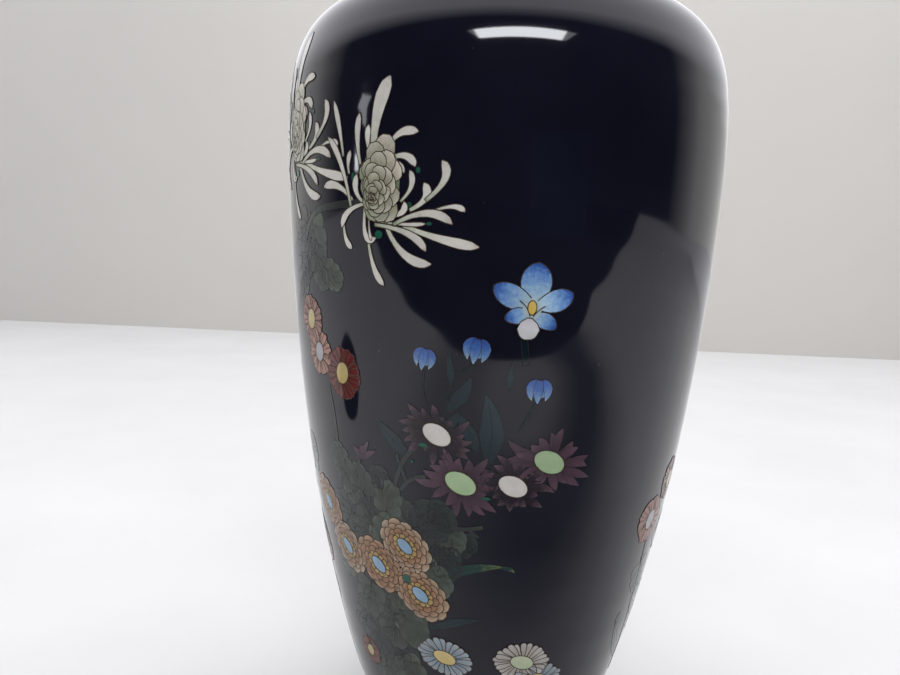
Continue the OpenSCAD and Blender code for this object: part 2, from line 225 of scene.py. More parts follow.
class Wires:
    """Cloison wires: strips with a flat top and a keel, closed into loops or capped at both ends."""

    def __init__(self):
        self.points = []
        self.faces = []
        self.count = 0

    def add(self, place, line, lift, closed, width):
        if closed:
            along = np.roll(line, -1, axis=0) - np.roll(line, 1, axis=0)
        else:
            along = np.gradient(line, axis=0)
        along /= np.maximum(np.hypot(*along.T), 1e-6)[:, None]
        side = np.stack([along[:, 1], -along[:, 0]], axis=1) * width / 2
        count = len(line)
        self.points += [on_wall(place, line - side, lift), on_wall(place, line + side, lift),
                        on_wall(place, line, lift - CELL_DEPTH)]
        here = np.arange(count if closed else count - 1)
        there = (here + 1) % count
        left, right, keel = self.count, self.count + count, self.count + 2 * count
        for a, b in [(left, right), (right, keel), (keel, left)]:
            self.faces += np.stack([a + here, b + here, b + there, a + there], axis=1).tolist()
        if not closed:
            last = count - 1
            self.faces += [[right, left, keel], [left + last, right + last, keel + last]]
        self.count += 3 * count

    def build(self, name, material, slot, replaced):
        make_piece(name, np.concatenate(self.points).tolist(), self.faces, material, replaced)


cells = {}
wires = {}


def lift_of(level):
    """Height of a cell's top above the ground; a higher level covers a lower one."""
    return FIRST_LIFT + level * LEVEL_STEP


def outline(grid):
    """Points round the edge of a grid."""
    return np.concatenate([grid[0, :-1], grid[:-1, -1], grid[-1, :0:-1], grid[:0:-1, 0]])


class Spot:
    """Where a motif is drawn: its place on the wall, its size, its turn and whether it is mirrored."""

    def __init__(self, place, size=1.0, turn=0.0, flip=1):
        self.place = place
        self.size = size
        self.turn = turn
        self.flip = flip

    def plan(self, points):
        """Points of the motif as they lie on the wall."""
        return self.size * tilted(points, self.turn) * (self.flip, 1)

    def cell(self, family, grid, level, accent=0.0, wired=True):
        """One enamel cell that fills a grid, with its wire."""
        plan = self.plan(grid)
        if self.flip < 0:
            plan = plan[:, ::-1]
        cells.setdefault(family, Cells()).add(self.place, plan, lift_of(level), accent)
        if wired:
            self.bend_wire(family, outline(plan), level, True)

    def wire(self, family, line, level):
        """A wire inside a cell, such as the rib of a leaf."""
        self.bend_wire(family, self.plan(np.array(line, float)), level, False)

    def bend_wire(self, family, plan, level, closed):
        name, width = WIRES_OF[family]
        wires.setdefault(name, Wires()).add(self.place, plan, lift_of(level) + WIRE_LIFT, closed, width)


# ---------- Shapes in plan ----------

# Width along a spine, as (positions, widths)
LONG_PETAL = ((0, 0.3, 0.55, 0.75, 0.9, 1), (0.42, 0.56, 0.84, 1, 0.76, 0.14))
RAY_PETAL = ((0, 0.1, 0.6, 0.88, 0.97, 1), (0.4, 0.5, 0.95, 1, 0.7, 0.3))
SPIKY_PETAL = ((0, 0.25, 0.5, 0.72, 0.88, 1), (0.75, 0.9, 1, 0.8, 0.42, 0.03))
BROAD_PETAL = ((0, 0.1, 0.3, 0.55, 0.8, 0.93, 1), (0.35, 0.6, 0.9, 1, 0.78, 0.42, 0.04))
BUD_PETAL = ((0, 0.2, 0.5, 0.8, 1), (0.5, 0.85, 1, 0.7, 0.05))
CALYX = ((0, 0.12, 0.5, 0.8, 1), (0.3, 0.7, 1, 0.75, 0.2))
SCALE = ((0, 0.2, 0.6, 0.85, 1), (0.7, 0.85, 1, 0.8, 0.3))
LOBE = ((0, 0.15, 0.55, 0.85, 0.96, 1), (0.5, 0.7, 1, 0.85, 0.5, 0.2))
BLADE = ((0, 0.08, 0.4, 0.75, 1), (0.15, 0.5, 1, 0.6, 0.03))
EVEN = ((0, 1), (1, 1))


def bezier(root, bend, tip, t):
    """Points of a quadratic curve at the parameters t."""
    t = np.asarray(t)[:, None]
    return (1 - t) ** 2 * np.array(root) + 2 * t * (1 - t) * np.array(bend) + t ** 2 * np.array(tip)


def strip(root, bend, tip, width, profile, rows=9, columns=3):
    """Grid of plan points along a bent spine, from root to tip and from left to right."""
    t = 0.5 - 0.5 * np.cos(np.linspace(0, math.pi, rows))
    spine = bezier(root, bend, tip, t)
    along = np.gradient(spine, axis=0)
    along /= np.hypot(*along.T)[:, None]
    side = np.stack([along[:, 1], -along[:, 0]], axis=1)
    half = width / 2 * np.interp(t, *profile)
    across = np.linspace(-1, 1, columns)
    return spine[:, None] + across[None, :, None] * (half[:, None] * side)[:, None]


def tilted(points, tilt):
    """Points turned clockwise by a tilt in degrees."""
    c, s = math.cos(math.radians(tilt)), math.sin(math.radians(tilt))
    x, y = points[..., 0], points[..., 1]
    return np.stack([x * c + y * s, y * c - x * s], axis=-1)


def oval(rx, ry, tilt=0.0, centre=(0, 0), rows=11, columns=5):
    """Grid that fills an oval."""
    up = np.cos(np.linspace(math.pi, 0, rows))
    half = np.sqrt(np.maximum(1 - up ** 2, 0.01))
    across = np.linspace(-1, 1, columns)
    grid = np.stack([rx * np.outer(half, across), ry * np.outer(up, np.ones(columns))], axis=-1)
    return tilted(grid, tilt) + np.array(centre)


def ray(angle):
    """Unit direction, clockwise from the top, in degrees."""
    return np.array([math.sin(math.radians(angle)), math.cos(math.radians(angle))])


# ---------- Motifs ----------

# Long petals of a chrysanthemum as (root, bend, tip, width), seen from its middle
SPIDER_PETALS = [
    ((-1.5, 6.5), (-1.5, 12.5), (1.5, 17.5), 2.8),
    ((-2.5, 6), (-3, 7.5), (-2.5, 10), 1.3),
    ((-4.5, 4.5), (-5.5, 8), (-4.5, 12), 1.4),
    ((-8.5, 6), (-9, 9.5), (-11, 14.5), 1.3),
    ((-7, -1.5), (-8.5, 5.5), (-12.5, 8.5), 1.4),
    ((-7, 2.5), (-7.5, 4), (-6.5, 6), 1.1),
    ((-7, -1.5), (-10, 1.5), (-14, 0), 1.6),
    ((-4, -2.5), (-6.5, -1), (-5, 2), 1.4),
    ((-4, -3), (-8.5, -3.5), (-9, -7), 1.4),
    ((-8.5, -7), (-8.5, -9.5), (-6.5, -10.5), 1.3),
    ((-3.5, -4.5), (-4.5, -10.5), (-1, -8.5), 1.4),
    ((-2.5, -6), (-2.5, -8), (-2, -9), 0.7),
    ((-2.5, -10.5), (-2, -14.5), (0.5, -16.5), 1.4),
    ((1.5, -7.5), (4, -13), (9.5, -12.5), 1.8),
    ((0.5, -6.5), (7, -7), (8.5, -10.5), 1.5),
    ((6, -7), (12, -9), (17.5, -9.5), 1.8),
    ((1, -6), (5.5, -6.5), (8.5, -6), 0.8),
    ((4, -5.5), (9.5, -2.5), (13, -6), 1.6),
    ((11, -3.5), (14, -2.5), (15, -4), 1.1),
    ((6.5, -3.5), (10, -2), (8, 0.5), 1.6),
    ((9.5, -1.5), (13.5, 1.5), (11, 4), 1.6),
    ((4.5, -2), (7, 0), (5.5, 2.5), 1.2),
    ((1.5, -5), (5.5, -5), (4.5, -2.5), 1.3),
    ((2, 7), (3.5, 9.5), (7, 8.5), 1.6),
    ((2, 4.5), (5.5, 6), (6.5, 3), 1.5),
    ((2.5, 4), (4, 4), (4.5, 2), 0.9),
]

# Small green cells between the roots of those petals, as (x, y, rx, ry)
GREEN_BITS = [(-6, 1.5, 0.4, 0.8), (-3.5, -3.5, 0.5, 0.4), (-0.5, -8, 0.8, 0.7),
              (7, 2.5, 0.4, 0.5), (5.5, -3, 0.4, 0.4), (9, -6, 0.5, 0.3)]

# A petal starts before its root, under its neighbours, by this share of the way from root to bend
HIDDEN_SHARE = 0.28

# The heart's scales run on a spiral from the heart's edge to its eye; every reach is (rx, ry)
GOLDEN_ANGLE = 137.5
HEART_SCALES = 40
HEART_EYE = np.array((-2, -2.5))
HEART_MIDDLE = np.array((0, 0.9))
HEART_REACH = (4.4, 7.6)

POMPON_SCALES = 12
POMPON_TILT = -48
POMPON_REACH = (4.4, 6.0)

# Radii that the round flowers are drawn with, before the layout scales them
DAISY_RADIUS = 5
POMPON_RADIUS = 5
ASTER_RADIUS = 7


def chrysanthemum(spot):
    """Long curled petals round a heart of incurved scales, which are set on a spiral towards its eye."""
    for i, (root, bend, tip, width) in enumerate(SPIDER_PETALS):
        hidden_root = np.array(root) + HIDDEN_SHARE * (np.array(root) - bend)
        petal = strip(hidden_root, bend, tip, width, LONG_PETAL, rows=15)
        spot.cell("chrysanthemum_petals", petal, 5 + i % 3)
    for x, y, rx, ry in GREEN_BITS:
        spot.cell("chrysanthemum_leaves", oval(rx, ry, centre=(x, y), rows=7, columns=3), 4, accent=2)
    bed = oval(3.7, 6.6, centre=HEART_MIDDLE, rows=15, columns=7)
    spot.cell("chrysanthemum_hearts", bed, 8, wired=False)
    for k in range(HEART_SCALES):
        reach = (1 - k / HEART_SCALES) ** 0.8
        centre = HEART_EYE + (HEART_MIDDLE - HEART_EYE) * reach
        out = ray(GOLDEN_ANGLE * k + 15) * HEART_REACH * reach
        width = 1.2 + 3.1 * reach
        scale = strip(centre + out * 0.3, centre + out * 0.7, centre + out, width, SCALE, 7, 5)
        # Green on the left, cream on the right
        cream = 0.5 + 0.11 * out[0] + 0.035 * out[1]
        spot.cell("chrysanthemum_hearts", scale, 9 + 0.2 * k, accent=min(max(cream, 0), 1))


def ray_flower(spot, family, heart_family, count, heart, reach, profile, width, level, accent,
               heart_accent, heart_tilt=20, wobble=0.12):
    """Petals in an oval ring round an oval heart; heart and reach are (rx, ry)."""
    for k in range(count):
        angle = 360 * (k + 0.3 * rng.rand()) / count
        d = ray(angle)
        inner = tilted(d * heart, heart_tilt) * 0.8
        outer = tilted(d * reach, heart_tilt * 0.6) * (1 - wobble * rng.rand())
        side = np.array([outer[1], -outer[0]]) * wobble * (rng.rand() - 0.5)
        grid = strip(inner, (inner + outer) / 2 + side, outer, width, profile, rows=8)
        spot.cell(family, grid, level + 0.7 * (k % 3), accent=accent)
    spot.cell(heart_family, oval(*heart, tilt=heart_tilt), level + 3, accent=heart_accent)


def sprig(spot):
    """Side view of a small mauve flower: petals that rise from one point."""
    for x, y in ((-3, 1.6), (-0.4, 2.2), (1.4, 3.2), (3, 1.6)):
        grid = strip((-0.9, -0.9), (x * 0.3 - 0.5, y * 0.5 - 0.2), (x, y), 1.2, SPIKY_PETAL)
        spot.cell("aster_petals", grid, 3)


def pompon(spot, warm):
    """Rings of short scales round a blue oval: yellow, then orange, and cream outside unless warm."""
    rings = [(1.0, 0.8 * warm), (0.82, 0.4 + 0.6 * warm), (0.64, 1), (0.46, 1.8)]
    for order, (reach, tone) in enumerate(rings):
        for k in range(POMPON_SCALES):
            angle = 360 * (k + 0.5 * (order % 2)) / POMPON_SCALES
            out = tilted(ray(angle) * POMPON_REACH, POMPON_TILT) * reach
            width = 2.2 * math.pi * POMPON_RADIUS * reach / POMPON_SCALES
            scale = strip(out * 0.62, out * 0.8, out, width, SCALE, rows=7, columns=5)
            spot.cell("pompon_petals", scale, 4 + order + 0.4 * (k % 2), accent=tone)
    spot.cell("pompon_centres", oval(1.15, 1.85, tilt=POMPON_TILT, rows=9, columns=3), 9)


def bellflower(spot):
    """Five pointed blue petals, the upper one largest, over an ivory calyx."""
    petals = [
        ((0.1, -0.8), (0, 3), (0.5, 6.1), 5.3),
        ((-0.4, -0.8), (-4, 0.3), (-6.7, 2.2), 4.0),
        ((0.6, -0.9), (4, -0.3), (6.4, 1.3), 3.8),
        ((-0.4, -3), (-2.4, -2.2), (-4.7, -3.4), 2.8),
        ((-0.3, -3.1), (2.2, -2.9), (3.8, -4.8), 2.8),
    ]
    for i, (root, bend, tip, width) in enumerate(petals):
        spot.cell("bellflower_petals", strip(root, bend, tip, width, BROAD_PETAL, 13, 5), 4 + i)
    cup = strip((-0.3, -3.1), (-0.3, -1.5), (-0.2, 0.4), 3.2, BUD_PETAL, 9, 5)
    spot.cell("bellflower_petals", cup, 9, accent=1, wired=False)
    for fold in [((-2.4, -0.2), (-0.9, -1.2), (-0.6, -2.8)), ((1.9, -1), (0.7, -1.6), (-0.1, -2.8))]:
        spot.wire("bellflower_petals", bezier(*fold, np.linspace(0, 1, 12)), 10)
    spot.cell("bellflower_stamens", oval(0.75, 1.2, centre=(-0.3, -1.3), rows=9, columns=3), 11)
    spot.cell("bellflower_calyxes", strip((-0.7, -6.6), (-0.8, -5), (-0.6, -3.0), 3.8, CALYX, 11, 5), 10)


def bud(spot):
    """Closed blue bud that hangs: a dome of folded petals with pale pointed tips below."""
    spot.cell("bellflower_buds", oval(2.2, 1.9, tilt=180, centre=(0, 0.5)), 4)
    petals = [
        ((-0.4, 2.1), (-2.6, 1.4), (-1.4, -1.9), 1.9),
        ((0.5, 2.1), (2.6, 1.2), (1.3, -2.0), 1.9),
        ((0.1, 2.3), (-0.4, 0.3), (-0.2, -2.6), 2.0),
    ]
    for i, (root, bend, tip, width) in enumerate(petals):
        spot.cell("bellflower_buds", strip(root, bend, tip, width, BUD_PETAL, 9, 5), 5 + i)


def lobed_leaf(spot, length, level, accent):
    """Chrysanthemum leaf about its middle: pairs of rounded lobes, one at the tip, and a rib."""
    foot = np.array((0, -0.5 * length))
    for i, (at, angle, reach) in enumerate([(0.15, 80, 0.45), (0.35, 58, 0.5), (0.55, 38, 0.45)]):
        for side in (-1, 1):
            root = foot + (0, at * length)
            tip = root + ray(side * angle) * reach * length
            bend = (root + tip) / 2 + (0, 0.04 * length)
            grid = strip(root, bend, tip, 0.4 * length, LOBE)
            spot.cell("chrysanthemum_leaves", grid, level + 0.2 * i, accent=accent)
    grid = strip(foot + (0, 0.2 * length), (0.03 * length, 0.1 * length), -foot, 0.42 * length, LOBE)
    spot.cell("chrysanthemum_leaves", grid, level + 0.6, accent=accent)
    rib = [foot + (0, t * length) for t in np.linspace(-0.1, 0.85, 8)]
    spot.wire("chrysanthemum_leaves", rib, level + 0.7)


def blade_leaf(spot, length, width, bow, level, accent):
    """Long pointed leaf with a wire along its middle; a yellowed one has a curled tip."""
    bend = (bow * length, 0.5 * length)
    if accent:
        curl = strip((0, 0.93 * length), (0.2, length + 0.6), (1.5, length + 1.2), 0.9, SPIKY_PETAL)
        spot.cell("blade_leaves", curl, level, accent=accent)
    spot.cell("blade_leaves", strip((0, 0), bend, (0, length), width, BLADE, 15, 5), level, accent=accent)
    spot.wire("blade_leaves", bezier((0, 0), bend, (0, length), np.linspace(0, 0.9, 12)), level)


def stem(spot, bend, tip, width, tone):
    """Even strip that follows a bend."""
    spot.cell("flower_stems", strip((0, 0), bend, tip, width, EVEN, 15, 2), 2.7, accent=tone)


# ---------- Layout: (azimuth, height, ...) ----------

# ... size, flip
CHRYSANTHEMUMS = [(-26.5, 120, 1, 1), (-58, 131, 1, 1), (-104, 116, 0.95, -1), (172, 124, 1, -1)]
BELLFLOWERS = [(8, 102.5, 1, 1), (-142, 100, 1, -1)]
# ... size, turn
BUDS = [(-16, 91.5, 0.78, 10), (-4, 93.5, 0.88, 8), (10.5, 87, 0.84, 0),
        (-160, 92, 1, 10), (-128, 91, 0.9, -15), (148, 90, 0.9, 0)]
# ... radius, colour of the petals (0 dark red to 1 orange), colour of the heart (0 cream to 1 lavender)
RED_DAISIES = [(-54, 96, 4.8, 0.6, 0), (-50.5, 90, 4.6, 1, 1), (-40.5, 87, 5, 0, 0), (-45, 28.5, 3.2, 0.2, 0),
               (56, 59, 5, 0.6, 1), (66, 66, 4.6, 0.2, 0), (-84, 84, 5, 0.1, 0), (130, 76, 4.8, 0.6, 1)]
# ... radius, colour of the petals (0 mauve to 1 nearly black), colour of the heart (0 green to 1 ivory)
ASTERS = [(-13, 78.5, 6.5, 1, 1), (-7, 70, 7, 0, 0), (6, 70, 6.5, 1, 1), (14.5, 74.5, 7, 0, 0),
          (-150, 74, 6.8, 0, 0), (-162, 66, 6.5, 1, 1), (160, 72, 7, 0, 0)]
# ... radius, warmth
POMPONS = [(-56, 59, 5, 1), (-47, 51.5, 5, 0.2), (-33, 50.5, 5.2, 1), (-23, 56, 5, 0.3),
           (-19, 46.5, 5.2, 0.5), (-72, 48, 5, 0.6), (100, 52, 5, 0.3), (113, 46, 5.2, 1),
           (-118, 56, 5, 0.4)]
# ... radius
BLUE_DAISIES = [(-12, 33.5, 5), (20, 29, 4.8), (-84, 32, 5), (150, 34, 5)]
WHITE_DAISIES = [(13.5, 33.5, 5.2), (84, 34, 5), (-140, 36, 5)]
# ... length, turn
LOBED_LEAVES = [
    (-35.5, 62, 9, -30), (-36.5, 57, 9, 200), (-27.5, 65, 7, 10), (-15, 62, 10, 60), (-23, 63, 6, -40),
    (-11, 59, 8, 110), (-13, 54.5, 10, 150), (-39.5, 42, 9, 200), (-36, 38, 9, 160), (-44, 36, 8, 220),
    (-30, 37, 9, 190), (-22.5, 38, 8, 150), (-28, 32, 9, 170), (-37, 27, 8, 190), (-48, 48, 8, 250),
    (-43, 52, 8, 300), (-31.5, 46, 7, 20), (-23.5, 41, 8, 80), (-30, 68, 6, 0), (-37, 67, 7, -20),
    (-27, 45.5, 7, 200), (-42, 54, 8, -60), (-41.5, 66, 8, -50), (-15.5, 50, 9, 130), (-6.5, 58, 6, 70),
    (-20, 59, 9, -10), (-29, 58, 8, 30), (-40, 32, 8, 210), (-33, 43, 8, 150), (-25, 28, 8, 150),
    (-46, 60, 8, -80), (-45, 70, 7, -30), (-49, 111, 9, 160), (-54, 108, 9, 210), (-47, 105.5, 8, 150),
    (-42, 104.5, 6, 120), (-57, 113, 8, 250), (-58, 104, 8, 180),
    (-66, 68, 8, 20), (-80, 60, 8, -40), (-92, 50, 8, 160), (-104, 66, 8, 20), (-112, 100, 8, 200),
    (-100, 98, 8, 160), (96, 66, 8, 20), (108, 60, 8, 60), (122, 60, 8, -40), (104, 40, 8, 160),
    (60, 46, 8, 160), (72, 54, 8, 40), (140, 60, 8, 20), (176, 106, 8, 160), (164, 104, 8, 200),
    (-128, 48, 8, 160), (-146, 52, 8, 40), (132, 42, 8, 200), (-80, 52, 8, 70), (-88, 44, 8, -60),
    (-110, 36, 8, 60), (-122, 34, 7, -60), (-98, 42, 8, 30), (-74, 36, 8, 60), (-114, 76, 8, 60),
    (-124, 66, 7, -50), (-150, 44, 8, -50), (-158, 34, 8, 70), (-166, 48, 7, -40), (174, 88, 8, 60),
    (-178, 80, 8, -60), (172, 62, 8, 50), (164, 44, 8, -50), (158, 36, 7, 60), (134, 56, 8, 50),
    (124, 46, 8, -60), (114, 34, 8, 60), (98, 30, 7, -50), (66, 40, 8, -50), (74, 34, 7, 60),
    (88, 56, 8, 40), (118, 70, 7, -30),
]
# ... rx, ry
GREEN_TIPS = [(-16.5, 76.3, 0.9, 0.4), (-0.5, 67.5, 0.8, 0.35), (-23.2, 49.3, 0.9, 0.9),
              (-19.5, 73, 0.3, 0.3)]
# ... length, turn, width, bow, colour of the tip (0 teal to 1 yellow-green)
BLADE_LEAVES = [
    (-10.5, 83, 7.5, 34, 2.6, 0.12, 0), (-9, 87, 6.5, -6, 1.4, -0.1, 0), (-0.5, 74, 12.5, -4, 4.4, 0.15, 0),
    (-20.5, 74, 8, -46, 3, -0.1, 0), (3.5, 87, 5, 5, 1.2, 0, 0), (-13, 50.8, 12.5, 74, 2.2, -0.15, 1),
    (-16, 39.5, 10, 70, 2, -0.1, 0), (-3, 76, 8, -30, 2.4, 0.1, 0), (-12, 79, 5, 40, 2, 0.1, 0),
    (-154, 84, 11, 20, 2, 0.1, 0), (-146, 86, 11, -20, 2, -0.1, 0), (-156, 54, 14, 100, 2, 0.1, 1),
    (156, 80, 11, 20, 2, 0.1, 0), (166, 60, 12, 150, 2, -0.1, 0), (144, 70, 11, 30, 2.4, 0.1, 0),
    (152, 66, 12, -20, 2.6, -0.1, 0), (-132, 74, 12, 20, 2.6, 0.1, 0), (-126, 72, 10, -30, 2.2, -0.1, 0),
    (-162, 74, 12, -15, 2.6, 0.1, 0), (64, 26, 13, -30, 2.2, -0.1, 1), (116, 22, 13, 25, 2.2, 0.1, 1),
]
# ... bend, tip, width, tone (0 grey-green to 1 dark teal)
STEMS = [
    (-31, 117.3, (-7, 0), (-13.5, -1.2), 1.2, 0), (-48, 116, (-3, -0.8), (-5, -5), 1.1, 0),
    (6.3, 96, (0.3, -2), (0.6, -4.5), 1.1, 1), (-4.5, 91, (-3, -0.8), (-4, -5), 0.35, 1),
    (-10, 87, (-0.3, -2), (-0.8, -5), 0.4, 1), (-16, 89.5, (-0.8, -3), (0.5, -6), 0.35, 1),
    (10, 85, (-1.5, -3), (-2.5, -5), 0.35, 1), (-18, 76, (-3.5, -2.5), (-5, -8.5), 0.9, 0),
    (-24, 74, (0.3, -1), (0.5, -2), 0.6, 0), (-23.5, 72, (0.8, -0.8), (1.4, -3), 0.6, 0),
    (-16, 70.5, (-3.5, -0.5), (-5, -3.5), 0.8, 0), (-1, 62, (-3, -1), (-5.5, -0.7), 0.8, 0),
    (-4.5, 61, (0.8, -0.3), (1.6, -1.2), 0.6, 0), (-36.5, 71.5, (-0.8, -3), (0, -8), 0.8, 0),
    (-30.5, 67, (-1.5, -0.3), (-2.3, -2), 0.6, 0), (-47, 84, (2, -8), (1, -20), 0.6, 0),
    (-112, 108, (-3, -10), (-2, -30), 1.0, 0), (172, 110, (3, -14), (0, -34), 1.0, 0),
    (-142, 92, (-1, -10), (0, -26), 1.0, 1), (104, 48, (1, -12), (2, -32), 0.7, 0),
    (58, 54, (2, -14), (6, -32), 0.7, 0), (-84, 80, (2, -16), (-1, -44), 0.6, 0),
    (-118, 52, (1, -12), (4, -34), 0.7, 0), (-72, 44, (-1, -10), (1, -28), 0.7, 0),
    (-84, 28, (1, -6), (0, -13), 0.6, 0), (-140, 32, (1, -8), (0, -17), 0.6, 0),
    (-150, 70, (2, -20), (1, -52), 0.6, 0), (-162, 62, (0, -16), (2, -44), 0.6, 0),
    (-160, 88, (0, -6), (2, -16), 0.4, 1), (-128, 88, (-1, -8), (-3, -20), 0.4, 1),
    (130, 72, (2, -20), (-1, -54), 0.6, 0), (160, 68, (-2, -18), (0, -50), 0.6, 0),
    (148, 87, (0, -8), (3, -20), 0.4, 1), (150, 30, (1, -6), (0, -14), 0.6, 0),
    (84, 30, (-1, -6), (1, -14), 0.6, 0), (113, 42, (-1, -10), (-3, -26), 0.7, 0),
]
SPRIGS = [(-34.5, 72), (-120, 78), (118, 82)]

# Pieces of wire (wires_of_...), with the width of their wires and the kinds of cell that these go round
WIRE_PIECES = [
    ("chrysanthemums", WIRE, ["chrysanthemum_petals", "chrysanthemum_hearts"]),
    ("leaves", FINE_WIRE, ["chrysanthemum_leaves", "blade_leaves", "flower_stems"]),
    ("bellflowers", WIRE, ["bellflower_petals", "bellflower_stamens", "bellflower_calyxes"]),
    ("bellflowers", FINE_WIRE, ["bellflower_buds"]),
    ("asters", FINE_WIRE, ["aster_petals"]),
    ("pompons", WIRE, ["pompon_petals", "pompon_centres"]),
    ("daisies", WIRE, ["red_daisy_petals", "red_daisy_centres", "aster_centres",
                       "blue_daisy_petals", "white_daisy_petals", "field_daisy_centres"]),
]
WIRES_OF = {family: ("wires_of_" + kind, width)
            for kind, width, families in WIRE_PIECES for family in families}


def field_daisies(layout, family, count, width, pale_heart):
    """Small daisies near the foot."""
    for azimuth, height, radius in layout:
        spot = Spot(cad_place("field_daisy_centres", azimuth, height, 2.2), radius / DAISY_RADIUS)
        ray_flower(spot, family, "field_daisy_centres", count, (2.3, 1.45), (5.6, 4.3),
                   RAY_PETAL, width, 4, 0, pale_heart)


def draw_flowers():
    """Every flower head, centred on the head that the CAD has there."""
    for azimuth, height, size, flip in CHRYSANTHEMUMS:
        chrysanthemum(Spot(cad_place("chrysanthemum_hearts", azimuth, height, 8), size, flip=flip))
    for azimuth, height, size, flip in BELLFLOWERS:
        bellflower(Spot(cad_place("bellflower_stamens", azimuth, height, 2), size, flip=flip))
    for azimuth, height, size, turn in BUDS:
        bud(Spot(cad_place("bellflower_buds", azimuth, height, 4), size, turn))
    for azimuth, height, radius, warm, cool_heart in RED_DAISIES:
        spot = Spot(cad_place("red_daisy_centres", azimuth, height, 2.5), radius / DAISY_RADIUS)
        ray_flower(spot, "red_daisy_petals", "red_daisy_centres", 28, (1.7, 2.1), (4.9, 5.0),
                   RAY_PETAL, 1.3, 4, warm, cool_heart)
    for azimuth, height, radius, dark_petals, ivory in ASTERS:
        spot = Spot(cad_place("aster_centres", azimuth, height, 3), radius / ASTER_RADIUS)
        ray_flower(spot, "aster_petals", "aster_centres", 19, (2.95, 2.0), (8.8, 6.6),
                   SPIKY_PETAL, 1.7, 3, dark_petals, ivory, heart_tilt=26, wobble=0.45)
    for place in SPRIGS:
        sprig(Spot(place))
    for azimuth, height, radius, warm in POMPONS:
        spot = Spot(cad_place("pompon_centres", azimuth, height, 2), radius / POMPON_RADIUS)
        pompon(spot, warm)
    field_daisies(BLUE_DAISIES, "blue_daisy_petals", 22, 1.35, 0)
    field_daisies(WHITE_DAISIES, "white_daisy_petals", 26, 1.15, 1)


def draw_green():
    """Leaves, green tips, blades and stems."""
    for i, (azimuth, height, length, turn) in enumerate(LOBED_LEAVES):
        lobed_leaf(Spot((azimuth, height), 1, turn), length, (i % 4) * 0.5, (i % 3) / 2)
    for azimuth, height, rx, ry in GREEN_TIPS:
        Spot((azimuth, height)).cell("chrysanthemum_leaves", oval(rx, ry, rows=7, columns=3), 9, accent=2)
    for i, (azimuth, height, length, turn, width, bow, accent) in enumerate(BLADE_LEAVES):
        blade_leaf(Spot((azimuth, height), 1, turn), length, width, bow, 1 + 0.3 * (i % 3), accent)
    for azimuth, height, bend, tip, width, tone in STEMS:
        stem(Spot((azimuth, height)), bend, tip, width, tone)


# ---------- Materials ----------

POLISHED = {"IOR": 1.5, "Roughness": 0.06}

# Scales of the enamel's patterns, in waves per metre
SWELL = 90
PINHOLES = 420
OPENED_BUBBLES = 260
GRAIN = 1400
PATCHES = 500
DOTS = 5200


def add_node(tree, kind, inputs=None, **settings):
    """Adds a shader node; inputs maps a socket to a value or to the socket that feeds it."""
    made = tree.nodes.new("ShaderNode" + kind)
    for key, value in settings.items():
        setattr(made, key, value)
    for key, value in (inputs or {}).items():
        if isinstance(value, bpy.types.NodeSocket):
            tree.links.new(value, made.inputs[key])
        else:
            made.inputs[key].default_value = value
    return made


def new_material(name, settings=None):
    """Principled material with some of its inputs set, and its tree, shader and object coordinates."""
    material = bpy.data.materials.new(name)
    material.use_nodes = True
    tree = material.node_tree
    shader = tree.nodes["Principled BSDF"]
    for key, value in (settings or {}).items():
        shader.inputs[key].default_value = value
    place = add_node(tree, "TexCoord").outputs["Object"]
    return material, tree, shader, place


def ramp(tree, factor, stops):
    """Colour that follows a factor through stops, which map positions to colours."""
    node = add_node(tree, "ValToRGB", {"Fac": factor})
    elements = node.color_ramp.elements
    while len(elements) < len(stops):
        elements.new(0.5)
    for element, (position, colour) in zip(elements, stops.items()):
        element.position = position
        element.color = (*colour, 1)
    return node.outputs["Color"]


def noise(tree, place, scale, detail=3.0, roughness=0.5):
    inputs = {"Vector": place, "Scale": scale, "Detail": detail, "Roughness": roughness}
    return add_node(tree, "TexNoise", inputs).outputs["Fac"]


def math_node(tree, operation, a, b):
    return add_node(tree, "Math", {0: a, 1: b}, operation=operation).outputs[0]


def vector_node(tree, operation, a, b=(0, 0, 0), output="Vector"):
    return add_node(tree, "VectorMath", {0: a, 1: b}, operation=operation).outputs[output]


def mix_colour(tree, factor, a, b, blend="MIX"):
    """Sockets 6 and 7 of a Mix node are its two colours, and output 2 is the result."""
    node = add_node(tree, "Mix", {0: factor}, data_type="RGBA", blend_type=blend)
    for socket, value in ((6, a), (7, b)):
        if isinstance(value, bpy.types.NodeSocket):
            tree.links.new(value, node.inputs[socket])
        else:
            node.inputs[socket].default_value = (*value, 1)
    return node.outputs[2]


def range_node(tree, value, low, high, to_low=0.0, to_high=1.0):
    """Maps low...high to to_low...to_high, and holds the ends."""
    inputs = {"Value": value, "From Min": low, "From Max": high, "To Min": to_low, "To Max": to_high}
    return add_node(tree, "MapRange", inputs).outputs["Result"]


def voronoi(tree, place, scale):
    return add_node(tree, "TexVoronoi", {"Vector": place, "Scale": scale}).outputs["Distance"]


def add_bump(tree, shader, rise, strength, distance):
    """Feeds the shader's normal; the distance is in metres."""
    bump = add_node(tree, "Bump", {"Height": rise, "Strength": strength, "Distance": distance})
    tree.links.new(bump.outputs["Normal"], shader.inputs["Normal"])


def polish_marks(tree, shader, place):
    """What grinding and polishing leave: a faint unevenness and fine pinholes."""
    swell = noise(tree, place, SWELL, 1)
    pits = range_node(tree, voronoi(tree, place, PINHOLES), 0.0, 0.07)
    swell = math_node(tree, "MULTIPLY", swell, 0.5)
    pits = math_node(tree, "MULTIPLY", pits, 0.03)
    add_bump(tree, shader, math_node(tree, "ADD", swell, pits), 0.25, 0.00003)


